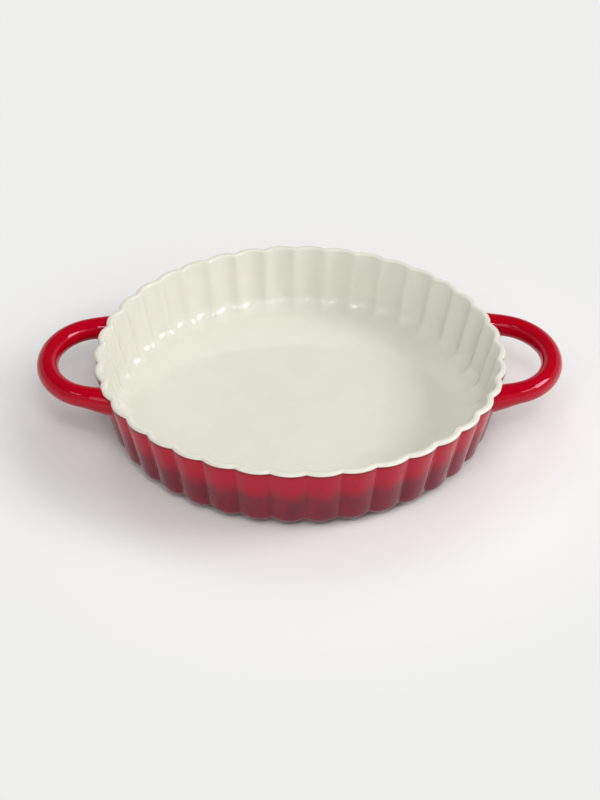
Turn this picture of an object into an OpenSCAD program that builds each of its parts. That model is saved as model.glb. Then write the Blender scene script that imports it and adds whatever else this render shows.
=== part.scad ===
// Round fluted baking dish with two loop handles, cast in one piece.
// Millimetres. The origin is on the table under the centre of the dish, Z points up,
// and the handles lie along X.

/* [Dish] */
// Diameter of the rim, measured over the crests of the lobes
rim_d = 272; // [240:1:320]
// Height from the table to the top of the rim
height = 51; // [40:1:70]
// Lean of the side away from upright, in degrees
draft = 13.5; // [8:0.5:18]
// Thickness of the side
wall = 4.6; // [3.5:0.1:6]
// Thickness of the floor, above the hollow inside the foot
floor_t = 6.5; // [4:0.5:9]

/* [Flutes] */
// Number of lobes around the side, even so that each handle is centred on a lobe
flutes = 38; // [30:2:44]
// Depth of a valley behind the crests, before its bottom is rounded
flute_depth = 2.6; // [1.5:0.1:3.4]
// Radius at the bottom of a valley, on the outside
valley_r = 1.4; // [0.8:0.1:2.5]

/* [Edges] */
// Radius of both edges of the rim
rim_round = 1.8; // [0.8:0.1:2.2]
// Radius under the lower end of each lobe
base_round = 9; // [4:0.5:11]
// Radius between the inside of the side and the floor
floor_fillet = 12; // [6:0.5:15]

/* [Foot] */
// Distance from the lowest line of the lobes in to the foot ring
foot_inset = 5; // [3:0.5:15]
// Width of the foot ring
foot_w = 7; // [4:0.5:10]
// Height of the foot ring
foot_h = 3; // [1.5:0.5:5]

/* [Handles] */
// Diameter of the round bar of a handle
handle_d = 14.3; // [11:0.1:16]
// Width of the loop between the centre lines of its two limbs
handle_span = 82; // [78:1:96]
// Distance that a handle stands out from the rim
handle_reach = 37.7; // [32:0.1:46]
// Straight length of each limb outside the side
limb_out = 4; // [2:0.5:8]
// Depth of the centre line of the loop below the rim
handle_drop = 7.8; // [7:0.1:16]
// How much wider each limb is where it meets the side
root_flare = 1.8; // [0.5:0.1:3]
// Length over which a limb widens
root_length = 14; // [6:0.5:18]

/* [Hidden] */

glaze_red = "#b3122a";
$fn = 96;

// Side of the dish: the crest line of the lobes leans out by the draft.
rim_r = rim_d / 2;
lean = tan(draft);
side_t = wall / cos(draft);
pitch_half = 180 / flutes;
edge_r = min(rim_round, wall / 2 - 0.1);
floor_z = foot_h + floor_t;
// Radius of the crest line at height z. The rounded edge of the rim reaches rim_r.
function crest_r(z) =
    rim_r + edge_r * (1 / cos(draft) - 1) - (height - edge_r - z) * lean;

// Centres of the rounded edges, as [radius, height], each a set distance inside the crest line
function inside(z, depth) = [crest_r(z) - depth / cos(draft), z];
base_c = inside(foot_h + base_round, base_round);
lip_out_c = inside(height - edge_r, edge_r);
lip_in_c = inside(height - edge_r, wall - edge_r);
fillet_c = inside(floor_z + floor_fillet, wall + floor_fillet);

// Points on an arc round c, from angle a0 to a1 in n steps
function arc(c, r, a0, a1, n) =
    [for (i = [0 : n]) let (a = a0 + (a1 - a0) * i / n) c + r * [cos(a), sin(a)]];

// Section of the wall at a crest, from the side over the rim to the fillet inside
profile = concat(
    arc(lip_out_c, edge_r, -draft, 90, 2),
    arc(lip_in_c, edge_r, 90, 180 - draft, 2),
    arc(fillet_c, floor_fillet, -draft, -90, 4)
);

// Outline of the flutes at one height: lobes and valleys are arcs that touch. The outline
// inside the wall has the same centres, so that the wall is equally thick all round, and
// one further in keeps that form.
function lobe_c(r) =
    (pow(r, 2) - pow(r - flute_depth, 2)) / (2 * (r - (r - flute_depth) * cos(pitch_half)));
function valley_c(c, reach) =
    c * cos(pitch_half) + sqrt(pow(reach, 2) - pow(c * sin(pitch_half), 2));
function fluted_r(turn, r, depth) =
    let (c = lobe_c(r))
    let (lobe_r = r - c)
    let (v = valley_c(c, lobe_r + valley_r))
    let (reach = [v * cos(pitch_half) - c, v * sin(pitch_half)])
    let (touch = [c, 0] + reach * (lobe_r - depth) / norm(reach))
    turn <= atan2(touch[1], touch[0])
        ? c * cos(turn) + sqrt(pow(lobe_r - depth, 2) - pow(c * sin(turn), 2))
        : let (back = pitch_half - turn)
            v * cos(back) - sqrt(pow(valley_r + depth, 2) - pow(v * sin(back), 2));

// Turns from the crest at which an outline has its points, as shares of half a lobe
lobe_steps = [0, 0.4, 0.76, 0.93, 1];
half_turns = len(lobe_steps) - 1;
turns = [for (i = [0 : flutes - 1], j = [-half_turns : half_turns - 1])
    let (off = lobe_steps[abs(j)] * pitch_half)
    [2 * i * pitch_half + sign(j) * off, off]];

function on_turn(r, turn, z) = [r * cos(turn), r * sin(turn), z];
function fluted_ring(p) =
    let (depth = crest_r(p[1]) - p[0])
    let (in_wall = min(depth, side_t))
    [for (t = turns)
        on_turn(fluted_r(t[1], crest_r(p[1]), in_wall) - depth + in_wall, t[0], p[1])];
function round_ring(r, z) = [for (t = turns) on_turn(r, t[0], z)];

// Below the side each lobe has a rounded end: where the section has turned under to face the
// direction a, a valley is set back against that direction.
under_steps = 3;
under_r = crest_r(base_c[1] - base_round * sin(draft));
function set_back(turn) = (under_r - fluted_r(turn, under_r, 0)) * cos(draft);
function under_ring(a) =
    [for (t = turns)
        let (p = base_c + (base_round - set_back(t[1])) * [cos(a), sin(a)])
        on_turn(p[0], t[0], p[1])];

// Solid skinned over a row of rings with equally many points, and flat at both ends
module skin(rings) {
    n = len(rings[0]);
    last = len(rings) - 1;
    first_end = [for (i = [0 : n - 1]) i];
    last_end = [for (i = [n - 1 : -1 : 0]) last * n + i];
    sides = [for (k = [0 : last - 1], i = [0 : n - 1])
        let (j = (i + 1) % n)
        each [
            [k * n + i, (k + 1) * n + i, (k + 1) * n + j],
            [k * n + i, (k + 1) * n + j, k * n + j]
        ]];
    polyhedron(
        points = [for (ring = rings) each ring],
        faces = concat([first_end, last_end], sides),
        convexity = 10
    );
}

// The bowl is skinned along its section, from a round flat underneath to the floor inside.
flat_margin = 2 * flute_depth;
module bowl() {
    skin(concat(
        [round_ring(base_c[0] - flat_margin, foot_h)],
        [for (i = [0 : under_steps]) under_ring(-90 + (90 - draft) * i / under_steps)],
        [for (p = profile) fluted_ring(p)],
        [round_ring(fillet_c[0] - flat_margin, floor_z)]
    ));
}

// Foot ring, with its two lower edges eased
ease = 1;
module foot_ring() {
    foot_r = base_c[0] - foot_inset;
    sunk = foot_h + floor_t / 2;
    rotate_extrude()
        polygon([
            [foot_r - foot_w, sunk],
            [foot_r - foot_w, ease],
            [foot_r - foot_w + ease, 0],
            [foot_r - ease, 0],
            [foot_r, ease],
            [foot_r, sunk]
        ]);
}

// Loop handle on the +X side: a round bar swept along half an ellipse with straight limbs
handle_z = height - handle_drop;
limb_y = handle_span / 2;
side_x = sqrt(pow(crest_r(handle_z), 2) - pow(limb_y, 2));
spring_x = side_x + limb_out;
rise = rim_r + handle_reach - handle_d / 2 - spring_x;
bar_sides = 16;
bend_steps = 16;
root_steps = 3;
// The limbs start this far inside the side and are then trimmed in the middle of the wall.
spare = 0.75 * handle_d;

// Centre line as [x, y, heading], where the heading is the angle of the section's outer side
limb_x = concat([side_x - spare], [for (i = [0 : root_steps - 1]) side_x + i * limb_out / root_steps]);
function bend_at(a) =
    [spring_x + rise * cos(a), limb_y * sin(a), atan2(sin(a) / limb_y, cos(a) / rise)];
centre_line = concat(
    [for (x = limb_x) [x, -limb_y, -90]],
    [for (i = [0 : bend_steps]) bend_at(-90 + 180 * i / bend_steps)],
    [for (i = [len(limb_x) - 1 : -1 : 0]) [limb_x[i], limb_y, 90]]
);
// A limb widens towards the side. It grows downwards and away from the loop, so that its top
// and its inner side stay straight, and it grows no further inside the wall.
function widening(x) =
    root_flare * pow(min(1, max(0, side_x + root_length - x) / root_length), 2);
function bar_ring(c) =
    let (grown = widening(c[0]))
    let (r = handle_d / 2 + grown)
    [for (i = [0 : bar_sides - 1])
        let (a = 360 * i / bar_sides)
        let (out = grown + r * cos(a))
        [c[0] + out * cos(c[2]), c[1] + out * sin(c[2]), handle_z - grown - r * sin(a)]];

module handle() {
    rings = [for (c = centre_line) bar_ring(c)];
    mid_wall = (side_t + flute_depth) / 2;
    difference() {
        skin(rings);
        translate([0, 0, -spare])
            cylinder(
                r1 = crest_r(-spare) - mid_wall,
                r2 = crest_r(height + spare) - mid_wall,
                h = height + 2 * spare
            );
    }
}

module dish() {
    color(glaze_red)
        union() {
            bowl();
            foot_ring();
            handle();
            rotate([0, 0, 180])
                handle();
        }
}

dish();
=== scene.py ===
# %% [markdown]
# A fluted baking dish in glazed stoneware
#
# The real dish is one piece of stoneware: a fluted bowl, its foot ring and two loop handles are
# formed together, glazed cream inside and red outside, and fired. This lesson dresses a solid model
# of it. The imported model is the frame: it fixes where everything is, and each new piece is made
# around it, in the same place and at the same size.

# %% Load the frame
import math

import bmesh
import bpy
from mathutils import Matrix, Vector


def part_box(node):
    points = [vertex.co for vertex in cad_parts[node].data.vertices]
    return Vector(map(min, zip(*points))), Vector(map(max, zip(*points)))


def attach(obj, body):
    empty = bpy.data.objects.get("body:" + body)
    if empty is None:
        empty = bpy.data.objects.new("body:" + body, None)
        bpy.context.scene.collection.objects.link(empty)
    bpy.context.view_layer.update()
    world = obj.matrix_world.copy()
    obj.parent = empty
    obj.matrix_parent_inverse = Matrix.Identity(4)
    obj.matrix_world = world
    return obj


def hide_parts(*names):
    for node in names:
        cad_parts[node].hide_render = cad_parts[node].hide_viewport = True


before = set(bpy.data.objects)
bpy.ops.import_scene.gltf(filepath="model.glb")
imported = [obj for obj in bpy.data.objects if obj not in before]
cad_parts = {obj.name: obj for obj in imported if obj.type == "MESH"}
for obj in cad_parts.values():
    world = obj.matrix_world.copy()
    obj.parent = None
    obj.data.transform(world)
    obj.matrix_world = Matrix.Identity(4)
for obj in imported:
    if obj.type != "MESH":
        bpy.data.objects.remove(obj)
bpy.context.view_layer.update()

# %% [markdown]
# Sizes
#
# A potter would note down a few sizes: the rim, the height, how far the side leans, how thick it
# is, and how many flutes go round. Everything else follows from them. The sizes here are in
# millimetres, because that is how such a drawing is dimensioned, and each mesh is scaled to
# Blender's metres when it is finished. The height and the reach of the handles are read from the
# frame, so that they can't disagree with it.

# %% Sizes of the dish, in millimetres
MM = 0.001
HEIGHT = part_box("dish")[1].z / MM
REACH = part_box("dish")[1].x / MM

RIM_R = 136.0
DRAFT = math.radians(13.5)
WALL = 4.6
FLOOR_T = 6.5
RIM_ROUND = 1.8
BASE_ROUND = 9.0
FLOOR_FILLET = 12.0

FLUTES = 38
FLUTE_DEPTH = 2.6
VALLEY_R = 1.4

FOOT_INSET = 5.0
FOOT_W = 7.0
FOOT_H = 3.0
FOOT_EASE = 1.0

FLOOR_Z = FOOT_H + FLOOR_T
SIDE_T = WALL / math.cos(DRAFT)
PITCH_HALF = math.pi / FLUTES
print(f"Dish {HEIGHT:.1f} mm high, {2 * REACH:.1f} mm over the handles")

# %% [markdown]
# The camera
#
# The photograph looks down on the dish from about 1.3 metres away, through a fairly long lens,
# so the rim is an ellipse with hardly any perspective. The camera comes first, because every later
# choice is judged through it. It is placed by the point that it looks at, its distance and three
# angles. The shift of the lens puts the dish a little above the middle of the tall frame, without
# tilting the camera.

# %% Camera
AIM = Vector((0.16, 13.66, 50.2)) * MM
DISTANCE = 1347.3 * MM
LOOK_DOWN = math.radians(33.498)
LOOK_RIGHT = math.radians(1.9)
ROLL = math.radians(0.575)
LENS = 91.1
SHIFT_Y = -0.075


def photo_camera():
    flat = math.cos(LOOK_DOWN)
    forward = Vector((math.sin(LOOK_RIGHT) * flat, math.cos(LOOK_RIGHT) * flat, -math.sin(LOOK_DOWN)))
    right = Vector((math.cos(LOOK_RIGHT), -math.sin(LOOK_RIGHT), 0))
    turned = Matrix((right, right.cross(forward), -forward)).transposed()
    data = bpy.data.cameras.new("camera")
    data.sensor_fit = "AUTO"
    data.sensor_width = 36
    data.lens = LENS
    data.shift_y = SHIFT_Y
    camera = bpy.data.objects.new("camera", data)
    camera.matrix_world = Matrix.Translation(AIM - forward * DISTANCE) @ (
        turned @ Matrix.Rotation(ROLL, 3, "Z")
    ).to_4x4()
    bpy.context.scene.collection.objects.link(camera)
    bpy.context.scene.camera = camera
    return camera


camera = photo_camera()
print("Camera at", [round(v, 3) for v in camera.matrix_world.translation])

# %% [markdown]
# The outline of the flutes
#
# Seen from above, the side is a ring of shallow round lobes with a narrow valley between each two.
# A lobe is an arc, a valley is a smaller arc the other way, and the two touch, so the outline has no
# corner anywhere. A sine wave would be quicker to write, but its crests and valleys are equally
# wide, and a pressed dish never looks like that. Because the dish tapers, the outline is worked out
# anew for each height, from the radius of the crests there.

# %% Radius of the side at a turn away from a lobe's crest
LEAN = math.tan(DRAFT)


def crest_r(z):
    """Radius of the line along the crests, at height z."""
    return RIM_R + RIM_ROUND * (1 / math.cos(DRAFT) - 1) - (HEIGHT - RIM_ROUND - z) * LEAN


def fluted_r(turn, r, depth):
    """Radius of the outline `depth` inside the side, where the crests have the radius r."""
    # The centres of the lobe's arc and of the valley's arc, and the point where the two touch
    deep = r - FLUTE_DEPTH
    lobe_c = (r**2 - deep**2) / (2 * (r - deep * math.cos(PITCH_HALF)))
    lobe_r = r - lobe_c
    across = lobe_c * math.sin(PITCH_HALF)
    valley_c = lobe_c * math.cos(PITCH_HALF) + math.sqrt((lobe_r + VALLEY_R) ** 2 - across**2)
    towards = Vector((valley_c * math.cos(PITCH_HALF) - lobe_c, valley_c * math.sin(PITCH_HALF)))
    touch = Vector((lobe_c, 0)) + towards.normalized() * (lobe_r - depth)
    if turn <= math.atan2(touch.y, touch.x):
        return lobe_c * math.cos(turn) + math.sqrt(
            (lobe_r - depth) ** 2 - (lobe_c * math.sin(turn)) ** 2
        )
    back = PITCH_HALF - turn
    return valley_c * math.cos(back) - math.sqrt(
        (VALLEY_R + depth) ** 2 - (valley_c * math.sin(back)) ** 2
    )


print(f"At the rim a valley lies {RIM_R - fluted_r(PITCH_HALF, RIM_R, 0):.2f} mm behind the crests")

# %% [markdown]
# The section, drawn like a potter's template
#
# A potter checks the wall with a template cut to its section. Here it is one line of vertices
# in the XZ plane, from the middle of the underside, round the foot, up the side, over the rim and
# down to the middle of the floor. A pen does the drawing: a straight stretch is an extruded vertex,
# and each rounding is the vertex spun about the rounding's centre, so every arc is true and meets
# its neighbours without a corner. A float layer notes how far each vertex lies from the rim along
# this line. The glaze needs that later, to change colour at the rim.

# %% Centres of the roundings
def inside(z, depth):
    """Point of the section that lies `depth` square inside the side, at height z."""
    return crest_r(z) - depth / math.cos(DRAFT), z


BASE_C = inside(FOOT_H + BASE_ROUND, BASE_ROUND)
LIP_OUT_C = inside(HEIGHT - RIM_ROUND, RIM_ROUND)
LIP_IN_C = inside(HEIGHT - RIM_ROUND, WALL - RIM_ROUND)
FILLET_C = inside(FLOOR_Z + FLOOR_FILLET, WALL + FLOOR_FILLET)
FOOT_R = BASE_C[0] - FOOT_INSET
FLAT_MARGIN = 2 * FLUTE_DEPTH
print(f"The foot ring is {2 * FOOT_R:.1f} mm across, and the flat floor {2 * FILLET_C[0]:.1f} mm")

# %% Pen that draws lines and arcs
QUARTER = math.pi / 2


def pen_line(bm, pen, r, z, pieces=1):
    """Draws a straight line in equal pieces and returns the vertex at its end."""
    start = pen.co.copy()
    for i in range(1, pieces + 1):
        pen = bmesh.ops.extrude_vert_indiv(bm, verts=[pen])["verts"][0]
        pen.co = start.lerp(Vector((r, 0, z)), i / pieces)
    return pen


def pen_arc(bm, pen, centre, angle, steps):
    """Swings the pen about a centre, anticlockwise if the angle is positive."""
    swung = bmesh.ops.spin(
        bm, geom=[pen], cent=(centre[0], 0, centre[1]), axis=(0, -1, 0), angle=angle, steps=steps
    )
    return next(v for v in swung["geom_last"] if isinstance(v, bmesh.types.BMVert))


def on_arc(centre, radius, angle):
    return centre[0] + radius * math.cos(angle), centre[1] + radius * math.sin(angle)


SIDE_ENDS = on_arc(LIP_OUT_C, RIM_ROUND, -DRAFT)
print(f"The straight side ends {HEIGHT - SIDE_ENDS[1]:.1f} mm below the rim")

# %% Section of the wall
def draw_section(bm):
    ease = FOOT_EASE
    foot_in = FOOT_R - FOOT_W
    pen = bm.verts.new((0, 0, FOOT_H))
    pen = pen_line(bm, pen, foot_in - ease, FOOT_H, 4)
    pen = pen_arc(bm, pen, (foot_in - ease, FOOT_H - ease), -QUARTER, 3)
    pen = pen_line(bm, pen, foot_in, ease)
    pen = pen_arc(bm, pen, (foot_in + ease, ease), QUARTER, 3)
    pen = pen_line(bm, pen, FOOT_R - ease, 0, 2)
    pen = pen_arc(bm, pen, (FOOT_R - ease, ease), QUARTER, 3)
    pen = pen_line(bm, pen, FOOT_R, FOOT_H - ease)
    pen = pen_arc(bm, pen, (FOOT_R + ease, FOOT_H - ease), -QUARTER, 3)
    pen = pen_line(bm, pen, BASE_C[0], FOOT_H, 3)
    pen = pen_arc(bm, pen, BASE_C, QUARTER - DRAFT, 9)
    pen = pen_line(bm, pen, *SIDE_ENDS, 8)
    pen = pen_arc(bm, pen, LIP_OUT_C, QUARTER + DRAFT, 7)
    pen = pen_line(bm, pen, LIP_IN_C[0], HEIGHT)
    pen = pen_arc(bm, pen, LIP_IN_C, QUARTER - DRAFT, 6)
    pen = pen_line(bm, pen, *on_arc(FILLET_C, FLOOR_FILLET, -DRAFT), 8)
    pen = pen_arc(bm, pen, FILLET_C, DRAFT - QUARTER, 10)
    pen = pen_line(bm, pen, FILLET_C[0] - FLAT_MARGIN, FLOOR_Z)
    pen_line(bm, pen, 0, FLOOR_Z, 5)


def note_distances(bm, layer):
    """Stores how far each vertex lies along the section from the widest point of the rim, in
    millimetres: more than 0 outside, less than 0 over the rim and inside."""
    bm.verts.ensure_lookup_table()
    run = [0.0]
    for a, b in zip(bm.verts, bm.verts[1:]):
        run.append(run[-1] + (b.co - a.co).length)
    widest = max(range(len(run)), key=lambda i: bm.verts[i].co.x)
    for vertex, length in zip(bm.verts, run):
        vertex[layer] = run[widest] - length


bm = bmesh.new()
run_layer = bm.verts.layers.float.new("run")
valley_layer = bm.verts.layers.float.new("valley")
draw_section(bm)
note_distances(bm, run_layer)
print("The section has", len(bm.verts), "vertices")

# %% [markdown]
# From section to bowl
#
# A full spin turns the section into the bowl, as a wheel would. The spin has many equal steps for
# each lobe, and they are then drawn together towards the valleys, where the surface turns most.
# After that each vertex moves in to the outline of the flutes. The side, the rim and the inner side
# keep their distance from each other, so the wall is equally thick all round. Below the side a
# valley is set back square to the surface, which gives each lobe its rounded lower end, and the
# flutes run out on the way to the foot and on the flat floor.

# %% Where a point of the section goes
NEARLY_0 = 0.001

UNDER_Z = BASE_C[1] - BASE_ROUND * math.sin(DRAFT)
UNDER_R = crest_r(UNDER_Z)
BASE_FROM = FOOT_R + FOOT_EASE


def ease_in_out(share):
    share = min(1.0, max(0.0, share))
    return share * share * (3 - 2 * share)


def fluted_point(r, z, turn, outside):
    """Where the point (r, z) of the section goes at a turn away from a crest."""
    if outside and z < BASE_C[1] and r > BASE_FROM:
        # Here the side has turned under. On the flat towards the foot the flutes fade.
        back = (UNDER_R - fluted_r(turn, UNDER_R, 0)) * math.cos(DRAFT)
        if r <= BASE_C[0]:
            return r, z + back * ease_in_out((r - BASE_FROM) / (BASE_C[0] - BASE_FROM))
        share = 1 - back / math.hypot(r - BASE_C[0], z - BASE_C[1])
        if math.atan2(z - BASE_C[1], r - BASE_C[0]) < NEARLY_0 - DRAFT:
            return BASE_C[0] + (r - BASE_C[0]) * share, BASE_C[1] + (z - BASE_C[1]) * share
    if r < FILLET_C[0] - NEARLY_0 or outside and z < UNDER_Z:
        # The foot, the underside and the flat floor stay round.
        return r, z
    depth = crest_r(z) - r
    in_wall = min(depth, SIDE_T)
    return fluted_r(turn, crest_r(z), in_wall) - depth + in_wall, z


print(f"At the base a valley lies {UNDER_R - fluted_r(PITCH_HALF, UNDER_R, 0):.2f} mm behind the crests")

# %% Bowl
LOBE_STEPS = 20
CROWDING = 0.8


def make_bowl(bm):
    bmesh.ops.spin(
        bm, geom=bm.verts[:] + bm.edges[:], cent=(0, 0, 0), axis=(0, 0, 1),
        angle=2 * math.pi, steps=FLUTES * LOBE_STEPS, use_merge=True,
    )
    bmesh.ops.remove_doubles(bm, verts=bm.verts[:], dist=NEARLY_0)
    for vertex in bm.verts:
        r = vertex.co.xy.length
        if r < NEARLY_0:
            continue
        # The share is 0 on a crest and 1 in the middle of a valley.
        angle = math.atan2(vertex.co.y, vertex.co.x)
        crest = round(angle / PITCH_HALF / 2) * 2 * PITCH_HALF
        share = abs(angle - crest) / PITCH_HALF
        share += CROWDING * (math.sin(share * QUARTER) - share)
        turn = share * PITCH_HALF
        vertex[valley_layer] = share**2
        r, z = fluted_point(r, vertex.co.z, turn, vertex[run_layer] > 0)
        angle = crest + math.copysign(turn, angle - crest)
        vertex.co = (r * math.cos(angle), r * math.sin(angle), z)
    bmesh.ops.recalc_face_normals(bm, faces=bm.faces[:])


make_bowl(bm)
print("The bowl has", len(bm.faces), "faces, and a volume of", round(bm.calc_volume() / 1000, 1), "cm3")

# %% [markdown]
# The loop handles
#
# Each handle is a round bar bent into half an ellipse, with two short straight limbs that widen
# where they grow out of the side. A curve with a bevel could make the bar, but not the way that it
# flows into the fluted side. So a circle is extruded from station to station along the centre line.
# For the fillet, each point of the last ring is followed to where the bar would meet the side, and a
# small curve leads from the bar to the side there. The fillet is wide below and at the
# sides of a limb, and narrow above, where the limb meets the rounding of the rim.

# %% Centre line and bar of a handle
HANDLE_D = 14.3
HANDLE_SPAN = 82.0
LIMB_OUT = 4.0
HANDLE_DROP = 7.8
ROOT_FLARE = 1.8
ROOT_LENGTH = 14.0

HANDLE_Z = HEIGHT - HANDLE_DROP
LIMB_Y = HANDLE_SPAN / 2
SIDE_X = math.sqrt(crest_r(HANDLE_Z) ** 2 - LIMB_Y**2)
SPRING_X = SIDE_X + LIMB_OUT
RISE = REACH - HANDLE_D / 2 - SPRING_X


def bar_point(x, y, heading, around):
    """Point of the bar's surface, by the place on the centre line and the angle round the bar."""
    grown = ROOT_FLARE * min(1.0, max(0.0, SIDE_X + ROOT_LENGTH - x) / ROOT_LENGTH) ** 2
    r = HANDLE_D / 2 + grown
    out = grown + r * math.cos(around)
    return Vector(
        (x + out * math.cos(heading), y + out * math.sin(heading), HANDLE_Z - grown - r * math.sin(around))
    )


print(f"The centre line of the loop goes {RISE:.1f} mm beyond the straight limbs")

# %% Where a limb meets the side
def side_point(y, z):
    """Point of the outer side, or of the rounding of the rim, at the given y and z."""
    depth = 0.0
    if z > LIP_OUT_C[1]:
        nearly_top = 0.98 * RIM_ROUND
        level = min(z - LIP_OUT_C[1], nearly_top)
        depth = crest_r(z) - LIP_OUT_C[0] - math.sqrt(RIM_ROUND**2 - level**2)
    r = crest_r(z)
    # The angle depends on the radius and the radius on the angle, so both are found in turns.
    for _ in range(8):
        angle = math.asin(y / r)
        turn = abs(angle - round(angle / PITCH_HALF / 2) * 2 * PITCH_HALF)
        r = fluted_r(turn, crest_r(z), depth)
    return Vector((math.sqrt(r**2 - y**2), y, z))


def meets_side(y, heading, around):
    """Point where the bar's line at this angle meets the side."""
    x = SIDE_X
    for _ in range(12):
        point = bar_point(x, y, heading, around)
        x += side_point(point.y, point.z).x - point.x
    return bar_point(x, y, heading, around)


print("A limb meets the side at x =", [
    round(meets_side(LIMB_Y, QUARTER, around).x, 1) for around in (-QUARTER, QUARTER)
], "above and below")

# %% Fillet at the root of a limb
BAR_SIDES = 32
FILLET_STEPS = 6

# The fillet's width below and above a limb, and how far inside the side it ends there. It starts
# to narrow where the sine of the angle round the bar is NARROWS_FROM, and takes NARROWS_OVER.
FILLET_WIDE = 2.4
FILLET_NARROW = 0.4
SUNK_BELOW = 0.05
SUNK_ABOVE = 1.2
NARROWS_FROM = 0.3
NARROWS_OVER = 1.1

# The last ring closes the bar inside the wall, this far behind the fillet and this much smaller.
END_DEPTH = 2.0
END_SHRINK = 0.3


def root_rings(y, heading):
    """Rings of the fillet, from the bar down to the side."""
    rings = [[] for _ in range(FILLET_STEPS + 2)]
    for i in range(BAR_SIDES):
        around = 2 * math.pi * i / BAR_SIDES
        corner = meets_side(y, heading, around)
        above = ease_in_out((NARROWS_FROM - math.sin(around)) / NARROWS_OVER)
        width = FILLET_WIDE + (FILLET_NARROW - FILLET_WIDE) * above
        on_bar = bar_point(corner.x + width, y, heading, around)
        middle = Vector((0, y, HANDLE_Z))
        away = Vector((0, corner.y, corner.z)) - middle
        spread = middle + away * (1 + width / away.length)
        on_side = side_point(spread.y, spread.z) - Vector((SUNK_BELOW, 0, 0))
        on_side = on_side.lerp(bar_point(corner.x - SUNK_ABOVE, y, heading, around), above)
        # The corner pulls the curve, so that it starts along the bar and ends along the side.
        for k in range(FILLET_STEPS + 1):
            t = k / FILLET_STEPS
            rings[k].append(on_bar * (1 - t) ** 2 + corner * 2 * t * (1 - t) + on_side * t * t)
        rings[-1].append(on_side.lerp(Vector((on_side.x - END_DEPTH, y, HANDLE_Z)), END_SHRINK))
    return rings


print("The fillet has", FILLET_STEPS, "steps, and is up to", FILLET_WIDE, "mm wide")

# %% Stations of a handle
BEND_STEPS = 56


def handle_stations():
    """All rings of one handle, from the root of one limb to the root of the other."""
    rings = list(reversed(root_rings(-LIMB_Y, -QUARTER)))
    for i in range(BEND_STEPS + 1):
        a = math.pi * (i / BEND_STEPS - 0.5)
        x = SPRING_X + RISE * math.cos(a)
        y = LIMB_Y * math.sin(a)
        heading = math.atan2(math.sin(a) / LIMB_Y, math.cos(a) / RISE)
        rings.append([bar_point(x, y, heading, 2 * math.pi * k / BAR_SIDES) for k in range(BAR_SIDES)])
    rings += root_rings(LIMB_Y, QUARTER)
    return rings


stations = handle_stations()
print("A handle has", len(stations), "rings of", BAR_SIDES, "points")

# %% Both handles
def edges_round(bm, ring):
    return [bm.edges.get((ring[i - 1], ring[i])) for i in range(len(ring))]


def add_handle(bm, stations, turned):
    """Extrudes a circle from station to station and closes its ends inside the wall."""
    turn = Matrix.Rotation(turned, 3, "Z")
    ring = bmesh.ops.create_circle(bm, segments=BAR_SIDES, radius=1)["verts"]
    made = list(ring)
    for vertex, place in zip(ring, stations[0]):
        vertex.co = turn @ place
    faces = [bm.faces.new(ring)]
    for places in stations[1:]:
        grown = bmesh.ops.extrude_edge_only(bm, edges=edges_round(bm, ring))["geom"]
        faces += [g for g in grown if isinstance(g, bmesh.types.BMFace)]
        new = {g for g in grown if isinstance(g, bmesh.types.BMVert)}
        ring = [
            next(e.other_vert(v) for e in v.link_edges if e.other_vert(v) in new) for v in ring
        ]
        for vertex, place in zip(ring, places):
            vertex.co = turn @ place
        made += ring
    faces.append(bm.faces.new(ring))
    bmesh.ops.recalc_face_normals(bm, faces=faces)
    return made


# The bars get the run of a place low on the side, where all is maroon. So the glaze can give them
# a red of their own.
HANDLE_RUN = 30.0
for turned in (0, math.pi):
    for vertex in add_handle(bm, stations, turned):
        vertex[run_layer] = HANDLE_RUN
print("With its handles the mesh has", len(bm.faces), "faces")

# %% Finished mesh
def finish_piece(bm, name):
    """Scales the mesh to metres and makes it an object that stays at the origin."""
    bmesh.ops.scale(bm, verts=bm.verts[:], vec=(MM, MM, MM))
    for face in bm.faces:
        face.smooth = True
    mesh = bpy.data.meshes.new(name)
    bm.to_mesh(mesh)
    bm.free()
    piece = bpy.data.objects.new(name, mesh)
    bpy.context.scene.collection.objects.link(piece)
    return piece


dish = finish_piece(bm, "baking_dish")
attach(dish, "root")
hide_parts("dish")
print("The dish has", len(dish.data.vertices), "vertices")

# %% [markdown]
# Glazed stoneware
#
# Stoneware is fired clay with a skin of glass, the glaze, which is sprayed or dipped on. Glass over
# a coloured ground gives the eye two things: the colour itself, and above it a clear, fairly sharp
# reflection of about four hundredths of the light. So both glazes share one Principled BSDF with
# the index of refraction of glass, about 1.5, and a low roughness, and mostly the colour changes
# from place to place. An image could hold that, but it would have to be unwrapped over 38 flutes.
# Nodes do without: they work from the place in space and from the two attributes that the mesh
# carries. Colours are written as the hex values that a paint program shows, and one function makes
# them linear.

# %% Helpers for colours and nodes
def linear(hex_colour, alpha=1.0):
    """Linear colour of an sRGB hex value such as "E8E6D9"."""
    parts = [int(hex_colour[i : i + 2], 16) / 255 for i in (0, 2, 4)]
    return (*[p / 12.92 if p <= 0.04045 else ((p + 0.055) / 1.055) ** 2.4 for p in parts], alpha)


def add(tree, kind, sockets=None, **settings):
    """Adds one node. Settings are its properties, and sockets holds values or links by input, by
    its name or, where a node has several inputs of one name, by its number."""
    node = tree.nodes.new(kind)
    for name, value in settings.items():
        setattr(node, name, value)
    for key, value in (sockets or {}).items():
        if isinstance(value, bpy.types.NodeSocket):
            tree.links.new(value, node.inputs[key])
        else:
            node.inputs[key].default_value = value
    return node


def new_material(name):
    material = bpy.data.materials.new(name)
    material.use_nodes = True
    material.node_tree.nodes.clear()
    return material


print("The mid grey 808080 is", round(linear("808080")[0], 3), "when it is made linear")

# %% Where a point of the glaze lies
stoneware = new_material("glazed_stoneware")
tree = stoneware.node_tree

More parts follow.
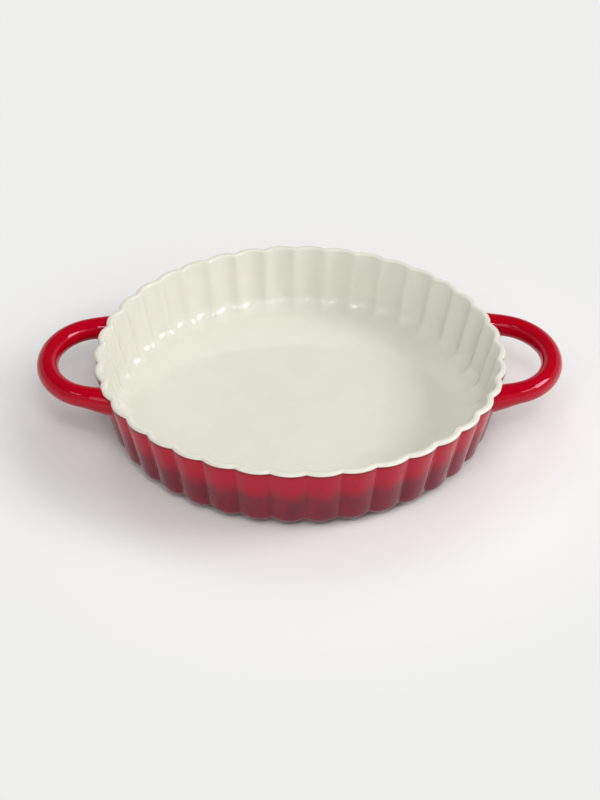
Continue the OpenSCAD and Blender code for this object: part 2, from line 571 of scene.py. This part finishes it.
place = add(tree, "ShaderNodeTexCoord").outputs["Object"]
height = add(tree, "ShaderNodeSeparateXYZ", {"Vector": place}).outputs["Z"]
run = add(tree, "ShaderNodeAttribute", attribute_name="run").outputs["Fac"]
valley = add(tree, "ShaderNodeAttribute", attribute_name="valley").outputs["Fac"]
print("Inputs of the glaze:", height.name, run.node.attribute_name, valley.node.attribute_name)

# %% [markdown]
# Red that darkens to maroon
#
# The outside is glazed maroon and then sprayed red from above, so the red thins out towards the
# base, and sooner in the valleys, which the spray hardly reaches. The height decides, and a noise
# upsets it by a few millimetres. Drops of spray run together to spots of about 9 mm, and wet glaze
# sinks, so the height counts for a third in the noise and its spots are three times as tall as
# wide. A ramp with smooth ends then leads from one colour to the other, with no edge to be seen.
# The bars of the handles have a second red, because more glaze stays on a bar.

# %% Ombre of the outside
RED = "A9001F"
HANDLE_RED = "A80018"
MAROON = "7A1926"
MAROON_DARK = "671420"

SPOT = 9 * MM
SPOT_RAISES = 6 * MM
VALLEY_LOWERS = 2.5 * MM
ALL_MAROON = 25 * MM
ALL_RED = 41 * MM

# Most of a noise lies between these two values.
MOST_NOISE = {"From Min": 0.35, "From Max": 0.65}

drawn_down = add(
    tree, "ShaderNodeVectorMath", {0: place, 1: (1, 1, 0.35)}, operation="MULTIPLY"
).outputs[0]
spray = add(
    tree, "ShaderNodeTexNoise", {"Vector": drawn_down, "Scale": 1 / SPOT, "Detail": 4.0}
).outputs["Fac"]
level = add(
    tree, "ShaderNodeMath", {0: spray, 1: SPOT_RAISES, 2: height}, operation="MULTIPLY_ADD"
).outputs[0]
level = add(
    tree, "ShaderNodeMath", {0: valley, 1: -VALLEY_LOWERS, 2: level}, operation="MULTIPLY_ADD"
).outputs[0]
sprayed = add(
    tree, "ShaderNodeMapRange", {"Value": level, "From Min": ALL_MAROON, "From Max": ALL_RED},
    interpolation_type="SMOOTHSTEP",
).outputs[0]
spotted = add(tree, "ShaderNodeMapRange", {"Value": spray, **MOST_NOISE}).outputs[0]
on_handle = add(
    tree, "ShaderNodeMapRange", {"Value": run, "From Min": HANDLE_RUN - 4, "From Max": HANDLE_RUN - 1}
).outputs[0]

# Inputs 6 and 7 of a Mix node are its two colours, and output 2 is the mixed one.
maroon = add(
    tree, "ShaderNodeMix", {"Factor": spotted, 6: linear(MAROON), 7: linear(MAROON_DARK)}, data_type="RGBA"
).outputs[2]
red = add(
    tree, "ShaderNodeMix", {"Factor": on_handle, 6: linear(RED), 7: linear(HANDLE_RED)}, data_type="RGBA"
).outputs[2]
outer = add(tree, "ShaderNodeMix", {"Factor": sprayed, 6: maroon, 7: red}, data_type="RGBA").outputs[2]
print("Nodes so far:", len(tree.nodes))

# %% [markdown]
# The edge of the red
#
# The cream glaze covers the inside and the rim. The red begins at the widest point of the rim, and for a
# millimetre or two below that edge it is painted darker. This is painted shade under the rounding of the
# rim, and it looks like a thin dark line. The attribute "run" is the distance from that point in
# millimetres, so the line follows each flute by itself, and it dips by a tenth of a millimetre in the
# valleys. The cream is nearly even: where the glaze is thinner, it is a touch lighter.

# %% Cream, and painted shade just under the rim's edge
CREAM = "D8D6C9"
CREAM_THIN = "DAD8CB"
# The darker red below is painted shade under the rounding of the rim, not a colour of the glaze.
RIM_SHADE_RED = "7E0014"

WAVE = 16 * MM
DIP = 0.1
RED_STARTS = {"From Min": -0.4, "From Max": -0.05}
RIM_SHADE_ENDS = {"From Min": 0.9, "From Max": 1.9}

wave = add(
    tree, "ShaderNodeTexNoise", {"Vector": place, "Scale": 1 / WAVE, "Detail": 1.5}
).outputs["Fac"]
edge = add(tree, "ShaderNodeMath", {0: valley, 1: -DIP, 2: run}, operation="MULTIPLY_ADD").outputs[0]
# Painted shade: full darker red up to 0.9 mm below the rim's edge, fading into the outer colour by 1.9 mm.
past_rim_shade = add(
    tree, "ShaderNodeMapRange", {"Value": edge, **RIM_SHADE_ENDS}, interpolation_type="SMOOTHSTEP"
).outputs[0]
on_red = add(tree, "ShaderNodeMapRange", {"Value": edge, **RED_STARTS}).outputs[0]
thin = add(tree, "ShaderNodeMapRange", {"Value": wave, **MOST_NOISE}).outputs[0]

red_with_rim_shade = add(
    tree, "ShaderNodeMix", {"Factor": past_rim_shade, 6: linear(RIM_SHADE_RED), 7: outer}, data_type="RGBA"
).outputs[2]
cream = add(
    tree, "ShaderNodeMix", {"Factor": thin, 6: linear(CREAM), 7: linear(CREAM_THIN)}, data_type="RGBA"
).outputs[2]
glaze = add(tree, "ShaderNodeMix", {"Factor": on_red, 6: cream, 7: red_with_rim_shade}, data_type="RGBA").outputs[2]
print("Nodes so far:", len(tree.nodes))

# %% [markdown]
# Gloss, and bare clay under the foot
#
# A glaze is never quite flat. It varies in thickness by a fraction of a millimetre over a
# centimetre or two, and that makes reflections waver. A bump shows it, and a small change in
# roughness goes with it. In the photograph reflections on the red look reddish, which its grading
# did, so the reflection has a tint there and stays white on the cream. The foot is wiped clean
# before firing, or the dish would stick to the kiln's shelf, so the ring that it stands on is bare
# clay: pale, and rough to the eye and the finger.

# %% Shader of the stoneware
CLAY = "CDB89C"
CLAY_ROUGH = 0.8
WHITE = (1, 1, 1, 1)
RED_TINT = (1, 0.6, 0.75, 1)
GLAZE_STARTS = {"From Min": 0.5 * MM, "From Max": 0.8 * MM}
UNEVEN = 0.25 * MM

glazed = add(tree, "ShaderNodeMapRange", {"Value": height, **GLAZE_STARTS}).outputs[0]
colour = add(
    tree, "ShaderNodeMix", {"Factor": glazed, 6: linear(CLAY), 7: glaze}, data_type="RGBA"
).outputs[2]
tint = add(
    tree, "ShaderNodeMix", {"Factor": on_red, 6: WHITE, 7: RED_TINT}, data_type="RGBA"
).outputs[2]
gloss = add(tree, "ShaderNodeMapRange", {"Value": wave, "To Min": 0.035, "To Max": 0.07}).outputs[0]
# Inputs 2 and 3 are the two numbers that it mixes instead, and output 0 is the mixed one.
roughness = add(
    tree, "ShaderNodeMix", {"Factor": glazed, 2: CLAY_ROUGH, 3: gloss}, data_type="FLOAT"
).outputs[0]
bump = add(tree, "ShaderNodeBump", {"Height": wave, "Distance": UNEVEN, "Strength": 1.0}).outputs[0]
shader = add(tree, "ShaderNodeBsdfPrincipled", {
    "Base Color": colour, "Roughness": roughness, "IOR": 1.46, "Specular Tint": tint, "Normal": bump,
})
add(tree, "ShaderNodeOutputMaterial", {"Surface": shader.outputs[0]})
dish.data.materials.append(stoneware)
print("The finished glaze has", len(tree.nodes), "nodes")

# %% [markdown]
# The tabletop
#
# The dish stands on a wide table with a matt white paint. Around the dish it takes the shadow
# and a faint red glow from the side of the dish. Further out the photograph shows one even tone, as
# a retouched background does. So there the camera sees an emission of just that tone, while the
# paint goes on lighting the dish from below: the Light Path node tells the two apart. The change
# starts a little outside the side and takes 13 cm, so most of the shadow stays and no edge shows.

# %% Floor
FLOOR = "E6E5E4"
BACKGROUND = "EEEEED"
FLOOR_HALF = 6.0
PAINT_TO = 0.17
PLAIN_FROM = 0.3


def studio_floor():
    bm = bmesh.new()
    bmesh.ops.create_grid(bm, x_segments=1, y_segments=1, size=FLOOR_HALF)
    mesh = bpy.data.meshes.new("floor")
    bm.to_mesh(mesh)
    bm.free()
    floor = bpy.data.objects.new("floor", mesh)
    bpy.context.scene.collection.objects.link(floor)
    material = new_material("painted_table")
    tree = material.node_tree
    place = add(tree, "ShaderNodeTexCoord").outputs["Object"]
    distance = add(tree, "ShaderNodeVectorMath", {0: place}, operation="LENGTH").outputs["Value"]
    away = add(
        tree, "ShaderNodeMapRange", {"Value": distance, "From Min": PAINT_TO, "From Max": PLAIN_FROM},
        interpolation_type="SMOOTHSTEP",
    ).outputs[0]
    seen = add(tree, "ShaderNodeLightPath").outputs["Is Camera Ray"]
    plain = add(tree, "ShaderNodeMath", {0: away, 1: seen}, operation="MULTIPLY").outputs[0]
    paint = add(tree, "ShaderNodeBsdfPrincipled", {
        "Base Color": linear(FLOOR), "Roughness": 0.7, "Specular IOR Level": 0.2,
    })
    shown = add(tree, "ShaderNodeEmission", {"Color": linear(BACKGROUND), "Strength": 1.0})
    mixed = add(tree, "ShaderNodeMixShader", {0: plain, 1: paint.outputs[0], 2: shown.outputs[0]})
    add(tree, "ShaderNodeOutputMaterial", {"Surface": mixed.outputs[0]})
    mesh.materials.append(material)


studio_floor()
print("The floor is", 2 * FLOOR_HALF, "m wide")

# %% [markdown]
# Lamps that show in the glaze
#
# A glossy dish is drawn by what it mirrors, so each highlight of the photograph tells of a lamp. The
# white streak on either handle and the dashes in the fillet at the left come from a softbox at the
# right, and so does the shadow at the left. A strip beside it lengthens the streak. The weaker
# sheen on the front limbs and the small dashes at the back come from a large softbox and two strips
# at the front and the left. Each is an area lamp that faces the dish, at the height where its
# reflection falls in the right place.

# %% Softboxes and strips
LAMP_DISTANCE = 2.5


def softbox(name, azimuth, elevation, size, watts, mirrored=True):
    """Area lamp that faces the dish. Azimuth 0 is the camera's side and 90 is +X."""
    a, e = math.radians(azimuth), math.radians(elevation)
    towards = Vector((math.sin(a) * math.cos(e), -math.cos(a) * math.cos(e), math.sin(e)))
    data = bpy.data.lights.new(name, "AREA")
    data.shape = "RECTANGLE"
    data.size, data.size_y = size
    data.energy = watts
    lamp = bpy.data.objects.new(name, data)
    lamp.visible_glossy = mirrored
    lamp.location = towards * LAMP_DISTANCE
    lamp.rotation_euler = towards.to_track_quat("Z", "Y").to_euler()
    bpy.context.scene.collection.objects.link(lamp)


softbox("key_softbox", 88, 34, (1.2, 0.8), 33)
softbox("side_strip", 58, 36, (0.7, 0.35), 3.5)
softbox("front_softbox", 340, 38, (1.3, 1.0), 8)
softbox("front_strip", 8, 50, (0.6, 0.25), 9)
softbox("left_strip", 300, 45, (0.6, 0.15), 2.0)

# %% [markdown]
# Light without highlights
#
# A studio also has light that no highlight betrays, thrown back by walls and ceiling. Three large
# lamps stand in for it, and they are hidden from reflections, so they fill the shadows and leave
# the gloss alone. The world is the room itself: pale as far up as its walls are lit, dark above,
# and a little higher at the camera's side. All of it together lights a level surface with a
# strength of a little over 1, so a colour renders about as it is written. The camera itself sees
# the plain tone of the background.

# %% Fills
softbox("front_fill", 345, 55, (1.5, 1.5), 16, mirrored=False)
softbox("top_fill", 0, 90, (3.0, 3.0), 12, mirrored=False)
softbox("back_fill", 180, 45, (1.5, 1.5), 15, mirrored=False)

# %% World
WALL_LIGHT = 0.45
CEILING_LIGHT = 0.05
WALLS_TO = 0.46
CEILING_FROM = 0.56


def studio_world():
    """Pale up to the height of the studio's walls and dark above."""
    world = bpy.data.worlds.new("studio")
    world.use_nodes = True
    tree = world.node_tree
    tree.nodes.clear()
    sky = add(tree, "ShaderNodeTexCoord").outputs["Generated"]
    tilted = add(tree, "ShaderNodeVectorMath", {0: sky, 1: (0, 0.18, 1)}, operation="DOT_PRODUCT")
    level = add(tree, "ShaderNodeMapRange", {
        "Value": tilted.outputs["Value"], "From Min": WALLS_TO, "From Max": CEILING_FROM,
        "To Min": WALL_LIGHT, "To Max": CEILING_LIGHT,
    }).outputs[0]
    light = add(tree, "ShaderNodeBackground", {"Color": (1, 1, 1, 1), "Strength": level})
    shown = add(tree, "ShaderNodeBackground", {"Color": linear(BACKGROUND), "Strength": 1.0})
    seen = add(tree, "ShaderNodeLightPath").outputs["Is Camera Ray"]
    mixed = add(tree, "ShaderNodeMixShader", {0: seen, 1: light.outputs[0], 2: shown.outputs[0]})
    add(tree, "ShaderNodeOutputWorld", {"Surface": mixed.outputs[0]})
    bpy.context.scene.world = world


studio_world()
bpy.context.scene.view_settings.view_transform = "Standard"
print("The world is", bpy.context.scene.world.name, "and the view is Standard")
